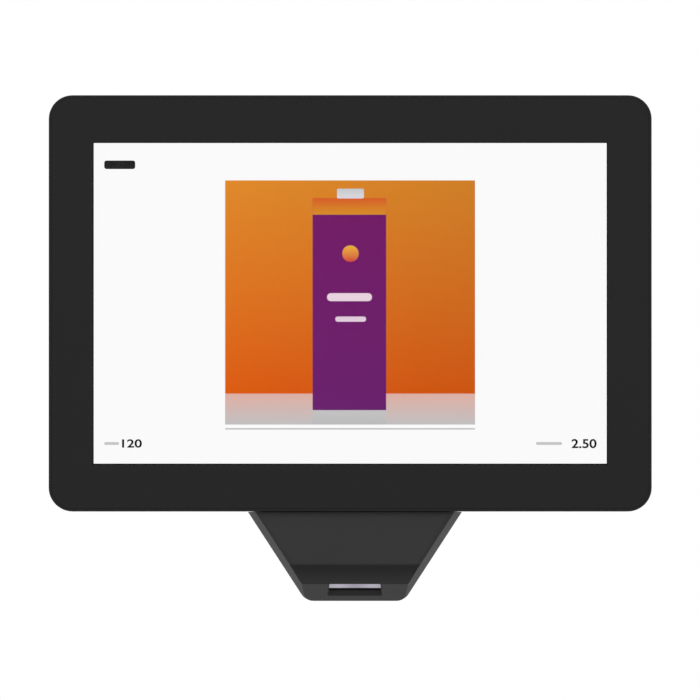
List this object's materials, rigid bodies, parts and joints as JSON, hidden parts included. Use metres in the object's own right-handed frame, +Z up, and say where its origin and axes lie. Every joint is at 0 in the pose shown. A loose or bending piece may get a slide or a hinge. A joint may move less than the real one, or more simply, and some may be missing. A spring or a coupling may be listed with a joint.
{
  "type": "price checker",
  "caption": "Wall mounted price checker: a flat black display with a tapered chin below it that holds a barcode reader, its window facing down and forwards.",
  "frame": {"origin": "centre of the 75 mm mounting pattern, on the rear face of the bulge", "axes": "+Z up, +X to the viewer's right, the screen faces -Y and the rear mounting face points +Y"},
  "size_m": [0.255, 0.032, 0.2139],
  "materials": {
    "housing_plastic": "fine moulded texture, satin black",
    "chin_plastic": "fine moulded texture, satin black",
    "key_plastic": "fine moulded texture, satin black",
    "cover_glass": "clear glass with a black printed border",
    "window_glass": "coated reader window",
    "lens_glass": "coated lens",
    "lcd_glass": "lit picture",
    "foam_tape": "black foam and tape",
    "light_guide": "white reflector and films",
    "black_resin": "black moulded resin",
    "plated_steel": "zinc plated sheet",
    "zinc_screw": "zinc plated",
    "black_screw": "black oxide",
    "brass": "turned brass",
    "board": "green solder mask",
    "chip": "black epoxy",
    "aluminium": "anodised",
    "sleeve": "shrink sleeve",
    "flex_film": "polyimide film",
    "ribbon": "white ribbon cable",
    "nylon": "natural nylon",
    "lead_sleeve": "soft sleeve",
    "lamp": "clear lamp"
  },
  "bodies": {
    "root": {"cover_glass": "cover_glass", "glass_tape": "foam_tape", "front_frame": "housing_plastic", "lcd_cell": "lcd_glass", "light_guide": "light_guide", "lcd_surround": "black_resin", "lcd_pan": "plated_steel", "foam_pads": "foam_tape", "lcd_driver_board": "board", "lcd_flex": "flex_film", "chassis_plate": "plated_steel", "frame_screws": "zinc_screw", "board_posts": "brass", "main_board": "board", "processor": "chip", "heatsink": "aluminium", "memory_chips": "chip", "radio_module": "plated_steel", "capacitors": "sleeve", "power_coil": "chip", "board_plugs": "nylon", "network_socket": "plated_steel", "power_socket": "black_resin", "usb_sockets": "plated_steel", "board_screws": "zinc_screw", "rear_cover": "housing_plastic", "mount_inserts": "brass", "case_screws": "black_screw", "speakers": "black_resin", "speaker_leads": "lead_sleeve", "key_bracket": "plated_steel", "key_board": "board", "key_switches": "black_resin", "chin_front_cover": "chin_plastic", "chin_rear_shell": "chin_plastic", "window_pane": "window_glass", "window_gasket": "foam_tape", "engine_bracket": "black_resin", "scan_engine": "black_resin", "engine_lens": "lens_glass", "engine_lamps": "lamp", "engine_screws": "zinc_screw", "engine_flex": "flex_film", "decoder_board": "board", "decoder_chip": "chip", "beeper": "black_resin", "decoder_screws": "zinc_screw", "reader_cable": "ribbon", "chin_screws": "black_screw", "neck_screws": "black_screw"},
    "power_button": {"power_key": "key_plastic", "power_stem": "nylon"},
    "volume_up_button": {"volume_up_key": "key_plastic", "volume_up_stem": "nylon"},
    "volume_down_button": {"volume_down_key": "key_plastic", "volume_down_stem": "nylon"}
  },
  "joints": [
    {"name": "power_press", "type": "slide", "parent": "root", "child": "power_button", "axis": [-1, 0, 0], "range_m": [0, 0.0005], "stiffness_N_per_m": 3000, "springref_m": -0.0002},
    {"name": "volume_up_press", "type": "slide", "parent": "root", "child": "volume_up_button", "axis": [-1, 0, 0], "range_m": [0, 0.0005], "stiffness_N_per_m": 3000, "springref_m": -0.0002},
    {"name": "volume_down_press", "type": "slide", "parent": "root", "child": "volume_down_button", "axis": [-1, 0, 0], "range_m": [0, 0.0005], "stiffness_N_per_m": 3000, "springref_m": -0.0002}
  ]
}
